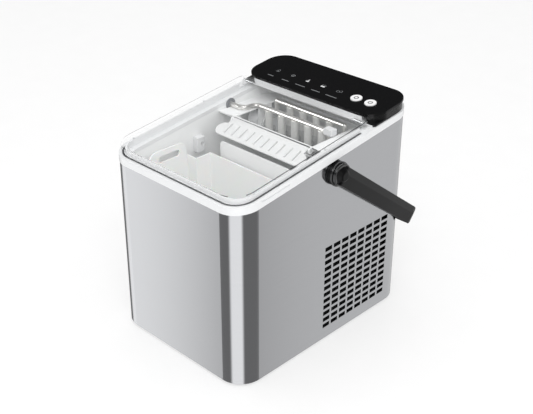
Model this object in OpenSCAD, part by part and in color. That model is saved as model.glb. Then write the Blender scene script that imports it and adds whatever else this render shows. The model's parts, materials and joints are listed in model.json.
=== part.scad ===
// Countertop ice maker: brushed steel cabinet, clear hinged lid, swinging carry handle,
// lift-out ice basket, tipping water tray, evaporator with freezing fingers and its cooling unit.
// The origin is the middle of the overall footprint, stowed handle included, where the feet stand.
// -Y is the front, +Y the control panel side, +Z is up.

/* [Body] */
// Width of the steel cabinet
body_w = 222; // [200:1:270]
// Depth of the steel cabinet, front to rear
body_d = 302; // [285:1:365]
// Height of the steel wall at the front, above the feet
wall_h = 227.3; // [190:0.1:275]
// Angle that the top rises towards the rear
top_slope = 7; // [4:0.5:9]
// Radius of the upright corners
corner_r = 30.5; // [20:0.5:36]
// Thickness of the steel sheet
sheet_t = 0.8; // [0.6:0.1:1.2]
// Height of the rubber feet
foot_h = 3; // [2:0.5:8]
// Radius of a rubber foot
foot_r = 9; // [6:0.5:12]
// Half width of the opening in the back of the steel sheet
back_open = 72; // [60:1:78]

/* [Top frame] */
// Height of the white band between the steel and the lid
frame_h = 9; // [6:0.5:14]
// How far the white band stands proud of the steel
frame_over = 0.6; // [0:0.1:1]
// Height of the lip that the lid closes over
lip_h = 5.4; // [3:0.2:7]
// Thickness of the lip
lip_t = 2.6; // [2:0.2:4]

/* [Lid] */
// Overall height of the clear lid
lid_h = 12.2; // [11:0.2:15]
// Thickness of the clear plastic
lid_t = 2.4; // [1.8:0.2:3]
// Step from the steel side to the lid side
lid_inset = 4.5; // [4:0.25:6]
// Radius of the lid's front corners
lid_r = 26; // [18:1:32]
// Radius of the lid's hinge pins
lid_pin_r = 1.5; // [1.2:0.1:1.8]

/* [Control panel] */
// Depth of the control panel, from the rear edge
panel_d = 74.6; // [66:0.2:84]
// Height of the control housing under its cover
panel_h = 9.7; // [8:0.1:12]
// Thickness of the cover
cover_t = 2.8; // [2:0.2:4]
// Radius of the cover's corners
cover_r = 26; // [12:1:30]
// Diameter of each push button
button_d = 15; // [11:0.5:18]
// Travel of each push button
button_travel = 0.8; // [0.4:0.1:1.2]
// Distance between the two push buttons
button_pitch = 22; // [20:0.5:26]
// Number of indicator symbols
icon_count = 5; // [1:1:5]
// Distance between indicator symbols
icon_pitch = 26; // [18:0.5:28]

/* [Side vents] */
// Number of vent columns
vent_cols = 8; // [4:1:8]
// Number of vent rows
vent_rows = 13; // [6:1:13]
// Length of one vent hole
vent_w = 12.3; // [8:0.1:13]
// Height of one vent hole
vent_h = 5.7; // [3:0.1:7]
// Column spacing
vent_pitch_y = 15.38; // [14:0.01:16]
// Row spacing
vent_pitch_z = 9.29; // [8:0.01:10]
// Height of the lowest row above the feet
vent_low = 19.1; // [15:0.1:30]
// Distance from the rear face to the rear column
vent_back = 44.3; // [40:0.1:60]

/* [Handle] */
// Distance of the pivot from the rear face
pivot_back = 144; // [138:0.5:150]
// Height of the pivot under the rim of the steel wall
pivot_drop = 17; // [16:0.5:24]
// Angle of the stowed handle below the horizontal
handle_drop = 37; // [32:0.5:42]
// Width of the handle arms
handle_w = 24; // [18:0.5:28]
// Thickness of the grip bar
grip_t = 8; // [6:0.5:12]
// How far the arm stands off the steel at the pivot
arm_out = 15.5; // [13:0.5:18]
// How far the arm stands off the steel at the grip
arm_end_out = 7; // [6:0.5:10]
// Radius of the pivot stub
stub_r = 7; // [5:0.5:8]
// Radius of the pivot collars
collar_r = 15.5; // [13:0.5:18]

/* [Ice bin] */
// Gap from the steel side to the inside of the liner
side_gap = 17; // [14:0.5:22]
// Thickness of the liner
liner_t = 2; // [1.6:0.2:3]
// Gap from the basket to the liner
basket_gap = 6; // [4:0.5:8]
// Thickness of the basket walls
basket_t = 2; // [1.6:0.2:2.6]
// Height of the basket, floor to rim
basket_h = 92; // [70:1:100]
// Depth of the basket's rim below the steel rim at the rear of the bin
basket_drop = 38; // [30:1:46]
// How far the finger tabs stand above the basket's rim
tab_h = 20; // [14:1:22]

/* [Freezing unit] */
// Room beside the freezing unit for the tray motor
motor_room = 29; // [26:1:36]
// Distance from the rear face to the front edge of the freezing unit
unit_back = 138; // [134:1:142]
// Depth of the deck below the steel rim at its front edge
deck_drop = 2.4; // [1:0.2:6]
// Inner radius of the tipping water tray
tray_r = 36; // [35.5:0.5:38]
// Thickness of the tray wall
tray_t = 2; // [1.6:0.2:2.4]
// Radius of the refrigerant tube
tube_r = 3.2; // [2.6:0.1:3.6]
// Radius of one freezing finger
finger_r = 5; // [4:0.5:6]
// Length of one freezing finger
finger_l = 36; // [28:1:38]
// Distance between the two tube runs
run_gap = 28; // [24:1:30]
// Length of the ice shovel, hinge to edge
shovel_l = 30; // [24:1:31]
// Angle of the resting ice shovel below the horizontal
shovel_drop = 24; // [18:1:30]
// Number of ribs on the ice shovel
shovel_ribs = 10; // [4:1:12]

/* [Cooling unit] */
// Radius of the compressor shell
comp_r = 42; // [36:1:44]
// Height of the compressor shell
comp_h = 82; // [60:1:84]
// Radius of the fan
fan_r = 44; // [34:1:46]
// Number of fan blades
fan_blades = 7; // [4:1:9]
// Thickness of the condenser
cond_t = 18; // [12:1:20]
// Radius of the drain opening
drain_r = 6; // [5:0.5:8]

/* [Hidden] */
$fn = 64;
eps = 0.01;
fit = 0.3;            // gap between pieces that move past each other
run_fit = 0.05;       // radial clearance of a turning shaft
half_w = body_w/2;
grip_y = 1.3 + (handle_w/2 - grip_t/2)*sin(handle_drop) + grip_t/2;
handle_reach = grip_y + grip_t/2*cos(handle_drop) + handle_w/2*sin(handle_drop);
front = (frame_over - body_d - handle_reach)/2;
back = front + body_d;
floor_z = foot_h;
rim_v = floor_z + wall_h;        // steel rim, at the front
frame_v = rim_v + frame_h;       // top of the white band, at the front
panel_front = back - panel_d;
lid_gap = 2;                     // gap from the lid to the panel
lid_back = panel_front - lid_gap;
big = 600;

// Height of a sloping level that passes height v at the front edge
function level(v, y) = v + (y - front)*tan(top_slope);

// Places children on a sloping level: local y runs up the slope from the front edge
module on_slope(v) { translate([0, front, v]) rotate([top_slope, 0, 0]) children(); }
// Distance along the slope of a place y
function along(y) = (y - front)/cos(top_slope);
// Everything between two sloping levels
module between(v0, v1) {
    on_slope(v0) translate([-big/2, -big/4, 0]) cube([big, big, (v1 - v0)*cos(top_slope)]);
}
// Flat outline with its own front and rear corner radii
module outline(w, y0, y1, rf, rb) {
    for (side = [-1, 1]) {
        translate([side*(w/2 - rf), y0 + rf]) circle(rf);
        translate([side*(w/2 - rb), y1 - rb]) circle(rb);
    }
    translate([-w/2 + rf, y0]) square([w - 2*rf, y1 - y0 - rb]);
    translate([-w/2 + rb, y0 + rf]) square([w - 2*rb, y1 - y0 - rf]);
    translate([-w/2, y0 + rf]) square([w, y1 - y0 - rf - rb]);
}
// Body outline moved inwards by a distance
module body_plan(inset) {
    outline(body_w - 2*inset, front + inset, back - inset, corner_r - inset, corner_r - inset);
}
module rod_x(r, x0, x1, y, z) { translate([x0, y, z]) rotate([0, 90, 0]) cylinder(r = r, h = x1 - x0); }
module rod_y(r, y0, y1, x, z) { translate([x, y0, z]) rotate([-90, 0, 0]) cylinder(r = r, h = y1 - y0); }
module block(p0, p1) { translate(p0) cube(p1 - p0); }
// Children on the right side and mirrored on the left
module both() { children(); mirror([1, 0, 0]) children(); }

// ---- cabinet ----
vent_z0 = floor_z + vent_low;
vent_y1 = back - vent_back;
vent_y0 = vent_y1 - (vent_cols - 1)*vent_pitch_y;
module vent_holes() {
    for (i = [0:vent_cols - 1], j = [0:vent_rows - 1])
        translate([vent_y0 + i*vent_pitch_y - vent_w/2, vent_z0 + j*vent_pitch_z - vent_h/2])
            square([vent_w, vent_h]);
}
pivot_y = back - pivot_back;
pivot_z = level(rim_v, pivot_y) - pivot_drop;
nut_r = 5;
module steel_wrap() color("silver") difference() {
    intersection() {
        translate([0, 0, floor_z]) linear_extrude(big) difference() {
            body_plan(0);
            body_plan(sheet_t);
        }
        between(-big/2, rim_v);
    }
    translate([half_w - 2, 0, 0]) rotate([90, 0, 90]) linear_extrude(4) vent_holes();
    block([-back_open, back - 5, 0], [back_open, back + 5, big]);
    rod_x(nut_r, -half_w - 5, half_w + 5, pivot_y, pivot_z);
}

inlet_x = 22;
inlet_z = floor_z + 32;
inlet_w = 30;
inlet_h = 22;
drain_x = 60;
drain_z = floor_z + 28;
pan_t = 2;
pan_wall = 14;
louvre_rows = 7;
louvre_pitch = 9;
louvre_z = floor_z + 62;
panel_t = 3;
rear_lip = 5;
module rear_panel() color("dimgray") difference() {
    intersection() {
        union() {
            block([-back_open + fit, back - panel_t, floor_z], [back_open - fit, back, big]);
            block([-back_open - rear_lip, back - panel_t, floor_z + 8],
                [back_open + rear_lip, back - sheet_t, big]);
        }
        between(-big/2, rim_v);
    }
    translate([inlet_x - inlet_w/2, back - 5, inlet_z - inlet_h/2]) cube([inlet_w, 10, inlet_h]);
    rod_y(drain_r + 3, back - 5, back + 5, drain_x, drain_z);
    for (side = [-1, 1]) rod_y(1.7, back - 5, back + 5, inlet_x + side*20.5, inlet_z);
    for (j = [0:louvre_rows - 1], side = [-1, 1])
        translate([side*28 - 20, back - 5, louvre_z + j*louvre_pitch]) cube([40, 10, 4]);
}

module base_pan() color("gainsboro") difference() {
    translate([0, 0, floor_z]) linear_extrude(pan_wall) intersection() {
        body_plan(sheet_t + fit);
        translate([-half_w, front]) square([body_w, body_d - panel_t - fit]);
    }
    translate([0, 0, floor_z + pan_t]) linear_extrude(pan_wall) intersection() {
        body_plan(sheet_t + fit + pan_t);
        translate([-half_w, front]) square([body_w, body_d - 2*panel_t - fit]);
    }
}

foot_inset = 26;
module rubber_feet() color("black") for (side = [-1, 1], y = [front + foot_inset, back - foot_inset])
    translate([side*(half_w - foot_inset), y, 0]) cylinder(r = foot_r, h = foot_h);

// ---- top frame ----
lip_out = half_w - lid_inset - lid_t - 0.4;        // outside of the lip that the lid closes over
lip_front = front + (half_w - lip_out);
lip_corner = lid_r - lid_t - 0.4;
liner_x = half_w - side_gap;
liner_front = front + 10;
liner_back = back - 39;
liner_r = 22;
flange_t = 2;
skirt_drop = 8;
module top_frame() color("white") {
    difference() {
        union() {
            intersection() {
                linear_extrude(big) body_plan(-frame_over);
                between(rim_v, frame_v);
            }
            intersection() {
                linear_extrude(big)
                    outline(2*lip_out, lip_front, lid_back - 16, lip_corner, 4);
                between(frame_v - eps, frame_v + lip_h);
            }
            intersection() {
                linear_extrude(big) body_plan(sheet_t + fit);
                between(rim_v - skirt_drop, rim_v + eps);
            }
        }
        intersection() {
            linear_extrude(big)
                outline(2*(lip_out - lip_t), lip_front + lip_t, lid_back + 6, lip_corner - lip_t, 4);
            between(rim_v + frame_h*0.6, big);
        }
        linear_extrude(big)
            outline(2*liner_x, liner_front, liner_back, liner_r, liner_r);
        intersection() {
            linear_extrude(big) body_plan(sheet_t + fit + 2);
            between(rim_v - skirt_drop - 1, rim_v);
        }
        rod_x(grommet_r, -liner_x - 12, -liner_x + 1, grommet_y, tube_z);
        // keeps the skirt clear of the pivot nuts
        rod_x(nut_r + 6, -big, -half_w + 10, pivot_y, pivot_z);
        rod_x(nut_r + 6, half_w - 10, big, pivot_y, pivot_z);
        // keeps the skirt clear of the rear panel
        intersection() {
            block([-back_open - rear_lip - 2, back - 8, 0], [back_open + rear_lip + 2, back, big]);
            between(rim_v - skirt_drop - 1, rim_v);
        }
    }
}

// ---- liner, insulation and baffle ----
unit_front = back - unit_back;              // front edge of the freezing unit
deck_z = level(rim_v, unit_front) - deck_drop;
deck_t = 2;
tray_y = back - 81;
tray_z = deck_z - 24;
bay_floor = tray_z - tray_r - tray_t - 32;  // floor under the freezing unit
baffle_y = unit_front - 29;
bin_back = baffle_y - 3;                    // rear wall of the bin, inside
basket_top = level(rim_v, bin_back) - basket_drop;
basket_z = basket_top - basket_h;
bin_floor = basket_z - 42;                  // floor of the water sump
basket_x = liner_x - basket_gap;
basket_front = liner_front + 4;
basket_back = bin_back - 4;
beam_y = bin_back - 5;
beam_z = basket_top + 8;
module liner_hollow(grow) {
    // bin
    translate([0, 0, bin_floor - grow]) linear_extrude(big)
        outline(2*(liner_x + grow), liner_front - grow, bin_back + grow, liner_r + grow, 4 + grow);
    // bay for the freezing unit
    translate([0, 0, bay_floor - grow]) linear_extrude(big)
        outline(2*(liner_x + grow), bin_back - 30 - grow, liner_back + grow, 4 + grow,
            liner_r + grow);
}
module inner_liner() color("whitesmoke") difference() {
    intersection() {
        union() {
            liner_hollow(liner_t);
            intersection() {
                linear_extrude(big) outline(2*(half_w - 4), front + 4, back - 6, corner_r - 4,
                    corner_r - 6);
                between(rim_v - flange_t, rim_v);
            }
        }
        between(-big/2, rim_v);
    }
    liner_hollow(0);
    rod_x(grommet_r, -liner_x - 5, -liner_x + 5, grommet_y, tube_z);
    rod_x(beam_r + 1, -liner_x - 5, -liner_x + 5, beam_y, beam_z);
    rod_x(beam_r + 1, liner_x - 5, liner_x + 5, beam_y, beam_z);
    translate([pump_x, pump_y, bin_floor - 5]) cylinder(r = 4, h = 10);
    rod_x(4 + fit, -liner_x - 5, -liner_x + 5, spout_y, spout_z);
    both() rod_x(nut_r + 6, liner_x + liner_t + 1, big, pivot_y, pivot_z);
}

foam_top = 34;
module insulation() color("white") difference() {
    translate([0, 0, bin_floor + 4]) linear_extrude(rim_v - foam_top - bin_floor - 4) difference() {
        intersection() {
            body_plan(sheet_t + 1);
            translate([-half_w, front]) square([body_w, bin_back - front + liner_t]);
        }
        outline(2*(liner_x + liner_t + fit), liner_front - liner_t - fit, bin_back + 60,
            liner_r + liner_t + fit, 4);
    }
    both() block([liner_x, vent_y0 - vent_w, 0], [big, big, vent_z0 + vent_rows*vent_pitch_z]);
    both() rod_x(beam_r + 4, liner_x, big, beam_y, beam_z);
}

baffle_half = liner_x - 33;
baffle_top = deck_z - 22;
baffle_r = 6;
module bin_baffle() color("white") translate([0, baffle_y, 0]) rotate([90, 0, 0])
    translate([0, 0, -2]) linear_extrude(2) {
        translate([-baffle_half, bay_floor]) square([2*baffle_half, baffle_top - baffle_r - bay_floor]);
        translate([-baffle_half + baffle_r, bay_floor])
            square([2*(baffle_half - baffle_r), baffle_top - bay_floor]);
        for (side = [-1, 1]) translate([side*(baffle_half - baffle_r), baffle_top - baffle_r])
            circle(baffle_r);
    }

// ---- freezing unit ----
unit_half = liner_x - motor_room;           // half width of the freezing unit's opening
trunnion_r = 3;
shovel_pin_r = 1.8;
shovel_y = unit_front - 1;
shovel_z = deck_z - deck_t - shovel_pin_r - 0.1;
cheek_t = 2;
deck_back = liner_back - 5;
module unit_deck() color("white") {
    difference() {
        block([-liner_x, unit_front, deck_z - deck_t], [liner_x, deck_back, deck_z]);
        block([-unit_half, unit_front + 3, 0], [unit_half, deck_back - 5, big]);
        block([-liner_x - 1, grommet_y - 8, 0], [-liner_x + 2, grommet_y + 8, big]);
        both() translate([liner_x - 16, deck_back - 16, 0]) difference() {
            cube([30, 30, big]);
            cylinder(r = 15, h = big);
        }
    }
    // cheeks that carry the tray and the shovel
    both() difference() {
        union() {
            block([unit_half, tray_y - 12, tray_z], [unit_half + cheek_t, tray_y + 12, deck_z - deck_t]);
            rod_x(12, unit_half, unit_half + cheek_t, tray_y, tray_z);
            block([unit_half, shovel_y, deck_z - 6], [unit_half + cheek_t, unit_front + 12, deck_z - deck_t]);
            rod_x(4, unit_half, unit_half + cheek_t, shovel_y, shovel_z);
        }
        rod_x(trunnion_r + run_fit, 0, big, tray_y, tray_z);
        rod_x(shovel_pin_r + run_fit, 0, big, shovel_y, shovel_z);
    }
}

tube_z = deck_z + tube_r + 0.2;
run_y = [tray_y - run_gap/2, tray_y + run_gap/2];
tray_end = unit_half - 1;
run_x1 = tray_end - tray_t - tube_r - 1.2;    // clear of the tray's end walls as it tips
run_x0 = -run_x1;
grommet_y = run_y[0] - 22;                  // two bend radii in front of the near run
grommet_r = 5.5;
bend_r = 11;
link_drop = 12;
module evaporator_tube() color("lightgray") {
    for (y = run_y) {
        rod_x(tube_r, run_x0, run_x1, y, tube_z);
        translate([run_x1, y, tube_z]) sphere(tube_r);
        translate([run_x1, y, tube_z - link_drop]) cylinder(r = tube_r, h = link_drop);
        translate([run_x1, y, tube_z - link_drop]) sphere(tube_r);
    }
    // link between the two runs, under their right ends
    rod_y(tube_r, run_y[0], run_y[1], run_x1, tube_z - link_drop);
    // S-bend from the near run to the side wall
    translate([run_x0, run_y[0] - bend_r, tube_z]) rotate([0, 0, 90]) rotate_extrude(angle = 90)
        translate([bend_r, 0]) circle(tube_r);
    translate([run_x0 - 2*bend_r, run_y[0] - bend_r, tube_z]) rotate([0, 0, -90])
        rotate_extrude(angle = 90) translate([bend_r, 0]) circle(tube_r);
    rod_x(tube_r, -liner_x - liner_t - 2, run_x0 - 2*bend_r, grommet_y, tube_z);
    // far run goes down at its left end
    translate([run_x0, run_y[1], tube_z]) sphere(tube_r);
    translate([run_x0, run_y[1], tube_z - link_drop]) cylinder(r = tube_r, h = link_drop);
}

finger_count = 9;
front_fingers = 5;
finger_span = 2*unit_half - 40;
module finger(x, y) translate([x, y, tube_z - tube_r - finger_l]) {
    cylinder(r = finger_r, h = finger_l + 1.2);
    sphere(r = finger_r);
}
module freezing_fingers() color("silver") difference() {
    union() {
        for (i = [0:front_fingers - 1])
            finger(-finger_span/2 + i*finger_span/(front_fingers - 1), run_y[0]);
        for (i = [0:finger_count - front_fingers - 1])
            finger(-finger_span/2 + (i + 0.5)*finger_span/(front_fingers - 1), run_y[1]);
    }
    for (y = run_y) rod_x(tube_r, -unit_half - 2, unit_half, y, tube_z);
}

module tube_end_block() color("white") difference() {
    block([run_x1 - 6, run_y[0] - 5, tube_z - 3], [run_x1 + 7, run_y[0] + 5, tube_z + 5]);
    rod_x(tube_r, 0, run_x1, run_y[0], tube_z);
    translate([run_x1, run_y[0], tube_z]) sphere(tube_r);
    translate([run_x1, run_y[0], tube_z - 5]) cylinder(r = tube_r, h = 5);
}

module tube_grommet() color("dimgray") difference() {
    union() {
        rod_x(grommet_r, -liner_x - liner_t, -liner_x, grommet_y, tube_z);
        rod_x(grommet_r + 2, -liner_x, -liner_x + 1.6, grommet_y, tube_z);
    }
    rod_x(tube_r, -big, 0, grommet_y, tube_z);
}

beam_r = 3;
module sensor(r) difference() {
    union() {
        block([liner_x - 9, beam_y - 8, beam_z - 11], [liner_x, beam_y + 4.5, beam_z + 9]);
        rod_x(r, liner_x - 1, liner_x + liner_t + 3, beam_y, beam_z);
    }
    rod_x(r - 0.6, liner_x - 10, liner_x - 4, beam_y, beam_z);
}
module sensor_emitter() color("whitesmoke") mirror([1, 0, 0]) sensor(beam_r);
module sensor_receiver() color("whitesmoke") sensor(beam_r);

motor_r = 13;
module tray_motor() color("ivory") {
    rod_x(motor_r, -unit_half - cheek_t - 18, -unit_half - cheek_t - 1.5, tray_y, tray_z);
    block([-unit_half - cheek_t - 1.5, tray_y - 9, tray_z - 20],
        [-unit_half - cheek_t - 0.4, tray_y + 9, tray_z + 14]);
}

module water_tray() color("white", 0.7) {
    difference() {
        rod_x(tray_r + tray_t, -tray_end, tray_end, tray_y, tray_z);
        rod_x(tray_r, -tray_end + tray_t, tray_end - tray_t, tray_y, tray_z);
        block([-big/2, tray_y - big/2, tray_z], [big/2, tray_y + big/2, tray_z + big/2]);
    }
    both() difference() {
        rod_x(7, tray_end - tray_t, tray_end, tray_y, tray_z);
        block([0, tray_y - 9, tray_z - 9], [big, tray_y + 9, tray_z]);
    }
    both() rod_x(trunnion_r, tray_end, unit_half + cheek_t, tray_y, tray_z);
}

shovel_half = unit_half - 1;
lobe_r = 10;
module shovel_frame() translate([0, shovel_y, shovel_z]) rotate([shovel_drop, 0, 0]) children();
module ice_shovel() color("white") {
    shovel_frame() {
        translate([0, 0, 1.6]) linear_extrude(1.8) {
            translate([-shovel_half, -shovel_l]) square([2*shovel_half, shovel_l - 1]);
            both() translate([shovel_half, -shovel_l + lobe_r]) circle(lobe_r);
        }
        for (i = [0:shovel_ribs - 1])
            translate([-shovel_half + (i + 0.5)*2*shovel_half/shovel_ribs - 0.8, -shovel_l + 5, 3.4])
                cube([1.6, shovel_l - 13, 1.2]);
        translate([-shovel_half, -2.2, -1.6]) cube([2*shovel_half, 3.2, 5]);
    }
    both() rod_x(shovel_pin_r, shovel_half - 6, unit_half + cheek_t, shovel_y, shovel_z);
}

// ---- basket ----
jog_x = 16;          // the rear corners step in by this much, around the sensors
jog_y = basket_back - 24;
module basket_plan(inset) difference() {
    outline(2*(basket_x - inset), basket_front + inset, basket_back - inset, 16 - inset, 5);
    both() translate([basket_x - jog_x - inset, jog_y - inset]) square([big, big]);
}
tab_y0 = basket_front + 26;
tab_y1 = jog_y - 3;
tab_r = 12;
module tab_side() {
    translate([tab_y0 + tab_r, basket_top - 2]) square([tab_y1 - tab_y0 - 2*tab_r, tab_h + 2]);
    translate([tab_y0, basket_top - 2]) square([tab_y1 - tab_y0, tab_h + 2 - tab_r]);
    for (y = [tab_y0 + tab_r, tab_y1 - tab_r]) translate([y, basket_top + tab_h - tab_r]) circle(tab_r);
}
slot_r = 4;
module ice_basket() color("white") difference() {
    union() {
        translate([0, 0, basket_z]) linear_extrude(basket_h) basket_plan(0);
        both() translate([basket_x - basket_t, 0, 0]) rotate([90, 0, 90])
            linear_extrude(basket_t) tab_side();
    }
    translate([0, 0, basket_z + basket_t]) linear_extrude(basket_h) basket_plan(basket_t);
    both() for (y = [tab_y0 + 20, tab_y1 - 16])
        rod_x(slot_r, basket_x - 10, basket_x + 10, y, basket_top + 8);
    both() block([basket_x - 10, tab_y0 + 20, basket_top + 8 - slot_r],
        [basket_x + 10, tab_y1 - 16, basket_top + 8 + slot_r]);
    for (i = [-3:3], j = [0:3])
        translate([i*18 - 2, basket_front + 24 + j*20, basket_z - 5]) cube([4, 12, 12]);
}

// ---- lid ----
hinge_y = along(lid_back) - 5;              // hinge axis, along the slope
hinge_n = frame_h + fit + lid_h - 5.6;      // hinge axis, above the steel rim
hinge_x = half_w - lid_inset - lid_t;       // inside of the lid's side
lid_len = along(lid_back);
lid_w = body_w - 2*lid_inset;
lid_front = lid_inset;
skirt_end = lid_len - 17;
module lid_plan(inset) outline(lid_w - 2*inset, lid_front + inset, lid_len, lid_r - inset, 12);
module lid() color("aliceblue", 0.35) on_slope(rim_v) translate([0, 0, frame_h + fit]) difference() {
    union() {
        difference() {
            linear_extrude(lid_h) lid_plan(0);
            translate([0, 0, -1]) linear_extrude(lid_h - lid_t + 1)
                outline(lid_w - 2*lid_t, lid_front + lid_t, lid_len + 30, lid_r - lid_t, 2);
            translate([-half_w, skirt_end, -1]) cube([body_w, 60, lid_h - lid_t + 1]);
        }
        both() rod_x(3.2, hinge_x - 20, hinge_x - 8, hinge_y, lid_h - 5.6);
        both() block([hinge_x - 20, hinge_y - 3.2, lid_h - 5.6], [hinge_x - 8, hinge_y + 3.2, lid_h - lid_t]);
    }
    // eased rear edge lets the lid swing past the panel
    translate([-half_w, lid_len, lid_h - 3]) rotate([45, 0, 0]) cube([body_w, 20, 20]);
    both() rod_x(lid_pin_r, hinge_x - 18, hinge_x + 1, hinge_y, lid_h - 5.6);
}
module lid_hinge_pins() color("silver") on_slope(rim_v) both()
    rod_x(lid_pin_r, hinge_x - 18, hinge_x - 1, hinge_y, hinge_n);
module hinge_posts() color("white") on_slope(rim_v) both() difference() {
    union() {
        block([hinge_x - 7.4, hinge_y - 3, frame_h], [hinge_x - 0.6, hinge_y + 2.5, hinge_n]);
        rod_x(3, hinge_x - 7.4, hinge_x - 0.6, hinge_y, hinge_n);
    }
    rod_x(lid_pin_r + run_fit, 0, big, hinge_y, hinge_n);
}
bumper_y = [34, 150];
module lid_bumpers() color("lightgray") on_slope(rim_v) both()
    for (y = bumper_y) translate([lip_out - lip_t/2, y, frame_h + lip_h]) cylinder(r = 1.2, h = 1);

// ---- control panel ----
base_inset = 1.2;
base_y0 = along(panel_front);
base_y1 = along(back) - base_inset;
base_foot = 2.2;                             // height of the square-cornered foot under the housing
module base_plan(front_r) outline(body_w - 2*base_inset, base_y0, base_y1, front_r, corner_r - base_inset);
module control_base() color("black") on_slope(rim_v) difference() {
    union() {
        translate([0, 0, frame_h]) linear_extrude(base_foot) base_plan(5);
        translate([0, 0, frame_h]) linear_extrude(panel_h) base_plan(cover_r);
    }
    translate([0, 0, frame_h + 2]) linear_extrude(panel_h)
        outline(body_w - 2*base_inset - 16, base_y0 + 8, base_y1 - 8, cover_r - 8, cover_r - 8);
}
button_y = base_y0 + 28;
button_x = [half_w - 51.3, half_w - 51.3 + button_pitch];
icon_x0 = -half_w + 37.6;
icon_y = button_y + 1.9;
lens_t = 0.6;
cover_n = frame_h + panel_h;                 // underside of the cover
module cover_plan() outline(body_w - 2*base_inset + 0.6, base_y0 - 0.3, base_y1 + 0.3, cover_r, cover_r);
module control_cover() color("black") on_slope(rim_v) difference() {
    translate([0, 0, cover_n]) linear_extrude(cover_t) cover_plan();
    for (x = button_x) translate([x, button_y, 0]) cylinder(r = button_d/2 + fit, h = big);
    for (i = [0:icon_count - 1]) {
        translate([icon_x0 + i*icon_pitch - 4, icon_y - 4, cover_n + cover_t - lens_t]) cube([8, 8, 1]);
        translate([icon_x0 + i*icon_pitch - 6, icon_y - 17, cover_n + cover_t - lens_t]) cube([12, 2.4, 1]);
    }
}
module indicator_lenses() color("lightgray") on_slope(rim_v) for (i = [0:icon_count - 1]) {
    translate([icon_x0 + i*icon_pitch - 4, icon_y - 4, cover_n + cover_t - lens_t]) cube([8, 8, lens_t]);
    translate([icon_x0 + i*icon_pitch - 6, icon_y - 17, cover_n + cover_t - lens_t]) cube([12, 2.4, lens_t]);
}
board_n = frame_h + 3.2;
module control_board() color("darkgreen") on_slope(rim_v) {
    translate([-half_w + 20, base_y0 + 14, board_n]) cube([body_w - 40, 34, 1.4]);
    for (i = [0:icon_count - 1])
        translate([icon_x0 + i*icon_pitch - 1.5, icon_y - 1.5, board_n + 1.4]) cube([3, 3, 1]);
}
switch_h = 2.4;
module tact_switches() color("gray") on_slope(rim_v) for (x = button_x)
    translate([x - 3, button_y - 3, board_n + 1.4]) cube([6, 6, switch_h]);
button_proud = 1.3;
button_flange = 1;
module button(x) on_slope(rim_v) translate([x, button_y, 0]) {
    translate([0, 0, cover_n - 0.6]) cylinder(r = button_d/2, h = cover_t + button_proud + 0.6);
    translate([0, 0, cover_n - 0.1 - button_flange]) cylinder(r = button_d/2 + 0.9, h = button_flange);
    translate([0, 0, board_n + 1.4 + switch_h + button_travel + 0.1])
        cylinder(r = 2, h = cover_n - 0.2 - button_flange - board_n - 1.4 - switch_h - button_travel);
}
module button_mode() color("white") button(button_x[0]);
module button_power() color("white") button(button_x[1]);

// ---- handle ----
boss_t = 3;
collar_t = 7;
stub_l = boss_t + fit + collar_t;
grip_s = (pivot_back + grip_y)/cos(handle_drop);      // pivot to the middle of the grip
arm_in = 1.3;
module handle_frame() translate([0, pivot_y, pivot_z]) rotate([-handle_drop, 0, 0]) children();
module arm_side() polygon([
    [half_w + arm_in, 0],
    [half_w + arm_in, grip_s + grip_t/2],
    [half_w + arm_end_out - 4, grip_s + grip_t/2],
    [half_w + arm_end_out, grip_s - grip_t/2],
    [half_w + arm_out, 0]]);
module handle() color("#222222") handle_frame() {
    both() difference() {
        union() {
            translate([0, 0, -handle_w/2]) linear_extrude(handle_w) arm_side();
            rod_x(handle_w/2, half_w + stub_l - 1, half_w + arm_out, 0, 0);
        }
        rod_x(collar_r + fit, 0, half_w + stub_l, 0, 0);
        rod_x(stub_r + run_fit, 0, half_w + stub_l + 1.5, 0, 0);
    }
    // grip bar with rounded edges
    block([-half_w - arm_in - 1, grip_s - grip_t/2, -handle_w/2 + grip_t/2],
        [half_w + arm_in + 1, grip_s + grip_t/2, handle_w/2 - grip_t/2]);
    for (side = [-1, 1])
        rod_x(grip_t/2, -half_w - arm_in - 1, half_w + arm_in + 1, grip_s, side*(handle_w/2 - grip_t/2));
}
module handle_collars() color("#303030") handle_frame() both() difference() {
    union() {
        rod_x(collar_r, half_w + boss_t + fit, half_w + boss_t + fit + collar_t*0.45, 0, 0);
        rod_x(collar_r - 1.5, half_w + boss_t + fit, half_w + stub_l, 0, 0);
    }
    rod_x(stub_r + run_fit, 0, big, 0, 0);
}
module pivot_bosses() color("#222222") translate([0, pivot_y, pivot_z]) both() {
    rod_x(collar_r - 0.5, half_w, half_w + boss_t, 0, 0);
    rod_x(stub_r, half_w + boss_t - eps, half_w + stub_l + 1, 0, 0);
    rod_x(nut_r - 0.4, half_w - 6, half_w + eps, 0, 0);
}
module pivot_nuts() color("silver") translate([0, pivot_y, pivot_z]) both() difference() {
    rod_x(8, half_w - sheet_t - 4, half_w - sheet_t, 0, 0);
    rod_x(nut_r - 0.4, 0, big, 0, 0);
}

// ---- water system ----
pump_x = 0;
pump_y = bin_back - 30;
pump_top = bin_floor - liner_t;
module water_pump() color("#dddddd") {
    translate([pump_x, pump_y, pump_top - 26]) cylinder(r = 14, h = 24);
    translate([pump_x, pump_y, pump_top - 2 - eps]) cylinder(r = 3.7, h = 6);
    rod_x(3.5, pump_x - 30, pump_x, pump_y, pump_top - 12);
}
hose_r = 3.4;
riser_x = -liner_x - liner_t - 5;
spout_y = tray_y + 6;
spout_z = tray_z + 14;
module pump_hose() color("white", 0.8) {
    rod_x(hose_r, riser_x, pump_x - 30, pump_y, pump_top - 12);
    translate([riser_x, pump_y, pump_top - 12]) sphere(hose_r);
    rod_y(hose_r, pump_y, spout_y, riser_x, pump_top - 12);
    translate([riser_x, spout_y, pump_top - 12]) sphere(hose_r);
    translate([riser_x, spout_y, pump_top - 12]) cylinder(r = hose_r, h = spout_z - 3 - pump_top + 12);
}
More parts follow.
